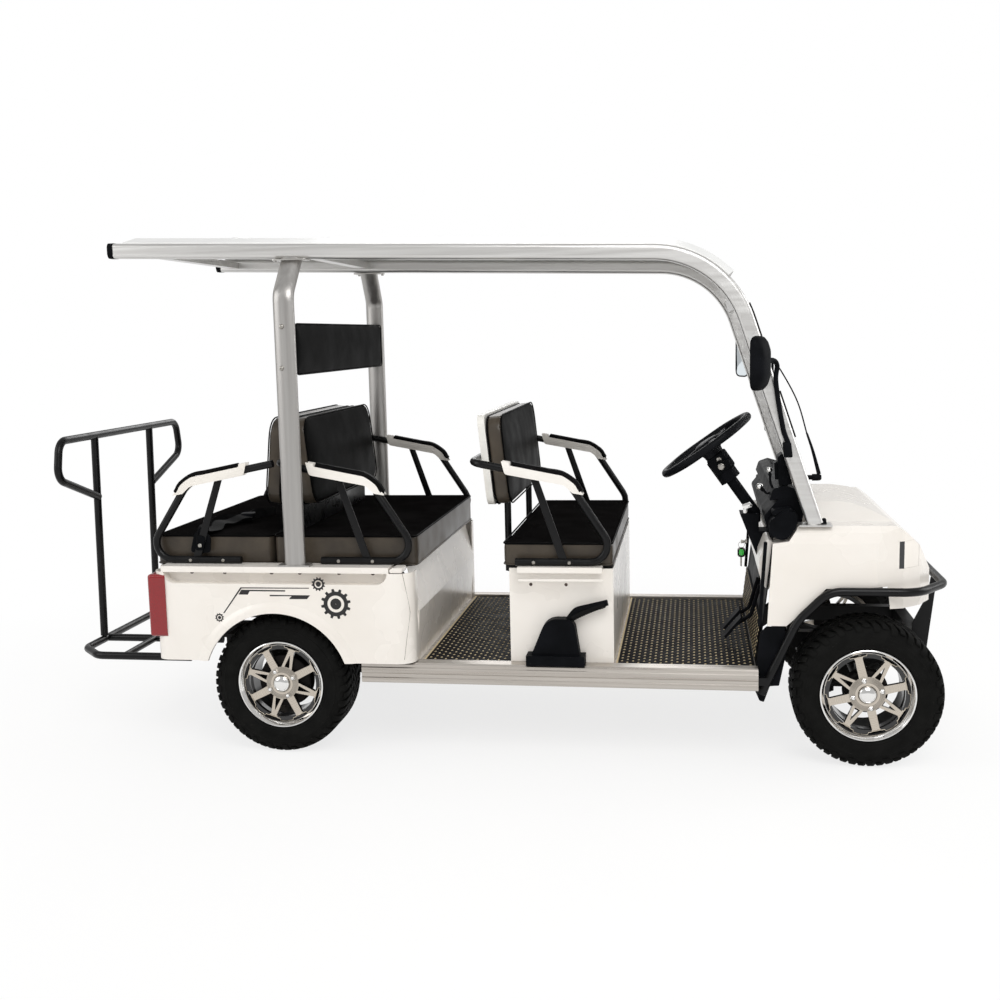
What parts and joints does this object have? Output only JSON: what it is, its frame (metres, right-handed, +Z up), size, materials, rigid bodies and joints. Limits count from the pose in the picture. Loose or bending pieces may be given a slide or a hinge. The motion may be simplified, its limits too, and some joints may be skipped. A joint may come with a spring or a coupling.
{
  "type": "golf cart",
  "caption": "Open low-speed passenger cart with a front bench and back-to-back rear seats under a long roof on curved rails, with alloy wheels and rear grab and foot frames.",
  "frame": {"origin": "on the ground, in the middle of the overall length and width", "axes": "+X forward along the cart, +Y to its left side, +Z up"},
  "size_m": [3.313, 1.43, 1.9408],
  "materials": {
    "tyre": "matt",
    "wheel_alloy": "machined",
    "frame_steel": "satin",
    "body_white": "gloss",
    "roof_white": "gloss",
    "rail_silver": "satin",
    "black_plastic": "matt",
    "floor_rubber": "quilted",
    "vinyl": "satin",
    "glass": "clear",
    "lamp_red": "gloss",
    "lamp_clear": "clear",
    "running_gear": "satin",
    "battery_case": "matt"
  },
  "bodies": {
    "chassis": {"chassis_frame": "frame_steel", "sill_right": "rail_silver", "sill_left": "rail_silver", "floor_pan": "running_gear", "floor_mat": "floor_rubber", "rear_side_panel_right": "body_white", "rear_side_panel_left": "body_white", "rear_end_panel": "body_white", "riser_panel": "body_white", "seat_deck": "body_white", "tail_lamps": "lamp_red", "bench_base": "body_white", "battery_pack": "battery_case", "middle_cushion": "vinyl", "rear_cushion": "vinyl", "front_backrest": "vinyl", "front_backrest_shell": "body_white", "middle_backrest": "vinyl", "rear_backrest": "vinyl", "front_armrests": "frame_steel", "middle_armrests": "frame_steel", "rear_armrests": "frame_steel", "arm_pads": "black_plastic", "roof_rail_right": "rail_silver", "roof_rail_left": "rail_silver", "roof_panel": "roof_white", "roof_bars": "rail_silver", "rear_pillar_right": "rail_silver", "rear_pillar_left": "rail_silver", "head_pad": "vinyl", "windscreen": "glass", "dash": "black_plastic", "front_wall": "black_plastic", "steering_column": "black_plastic", "pedals": "black_plastic", "cowl": "body_white", "headlamps": "lamp_clear", "bumper": "frame_steel", "mirrors": "black_plastic", "wiper": "black_plastic", "handbrake": "black_plastic", "front_axle": "running_gear", "rear_axle": "running_gear", "drive_motor": "running_gear", "grab_frame": "frame_steel", "foot_frame": "frame_steel"},
    "wheel_rear_right": {"tyre_rear_right": "tyre", "rim_rear_right": "wheel_alloy"},
    "wheel_rear_left": {"tyre_rear_left": "tyre", "rim_rear_left": "wheel_alloy"},
    "wheel_front_right": {"tyre_front_right": "tyre", "rim_front_right": "wheel_alloy"},
    "wheel_front_left": {"tyre_front_left": "tyre", "rim_front_left": "wheel_alloy"},
    "knuckle_right": {"knuckle_right": "running_gear"},
    "knuckle_left": {"knuckle_left": "running_gear"},
    "tie_rod": {"tie_rod": "running_gear"},
    "steering_wheel": {"steering_wheel": "black_plastic"},
    "seat_lid": {"front_seat_board": "black_plastic", "front_cushion": "vinyl"}
  },
  "joints": [
    {"name": "wheel_rear_right_spin", "type": "hinge", "parent": "chassis", "child": "wheel_rear_right", "pos_m": [-0.7555, -0.529, 0.26], "axis": [0, 1, 0], "continuous": true},
    {"name": "wheel_rear_left_spin", "type": "hinge", "parent": "chassis", "child": "wheel_rear_left", "pos_m": [-0.7555, 0.529, 0.26], "axis": [0, 1, 0], "continuous": true},
    {"name": "steer_left", "type": "hinge", "parent": "chassis", "child": "knuckle_left", "pos_m": [1.3655, 0.4, 0.26], "axis": [0, 0, 1], "range_deg": [-28, 28]},
    {"name": "steer_right", "type": "hinge", "parent": "chassis", "child": "knuckle_right", "pos_m": [1.3655, -0.4, 0.26], "axis": [0, 0, 1], "range_deg": [-28, 28]},
    {"name": "wheel_front_right_spin", "type": "hinge", "parent": "knuckle_right", "child": "wheel_front_right", "pos_m": [1.3655, -0.497, 0.26], "axis": [0, 1, 0], "continuous": true},
    {"name": "wheel_front_left_spin", "type": "hinge", "parent": "knuckle_left", "child": "wheel_front_left", "pos_m": [1.3655, 0.497, 0.26], "axis": [0, 1, 0], "continuous": true},
    {"name": "tie_rod_pivot", "type": "hinge", "parent": "knuckle_left", "child": "tie_rod", "pos_m": [1.2555, 0.4, 0.231], "axis": [0, 0, 1], "range_deg": [-28, 28]},
    {"name": "steering_wheel_turn", "type": "hinge", "parent": "chassis", "child": "steering_wheel", "pos_m": [0.8125, -0.285, 1.113], "axis": [-0.5764, 0, 0.8171], "range_deg": [-336, 336]},
    {"name": "seat_lid_hinge", "type": "hinge", "parent": "chassis", "child": "seat_lid", "pos_m": [0.4825, 0, 0.697], "axis": [0, 1, 0], "range_deg": [0, 70]}
  ],
  "couplings": [
    {"joint": "steer_right", "follows": "steer_left", "ratio": 1},
    {"joint": "tie_rod_pivot", "follows": "steer_left", "ratio": -1},
    {"joint": "steering_wheel_turn", "follows": "steer_left", "ratio": 12}
  ]
}
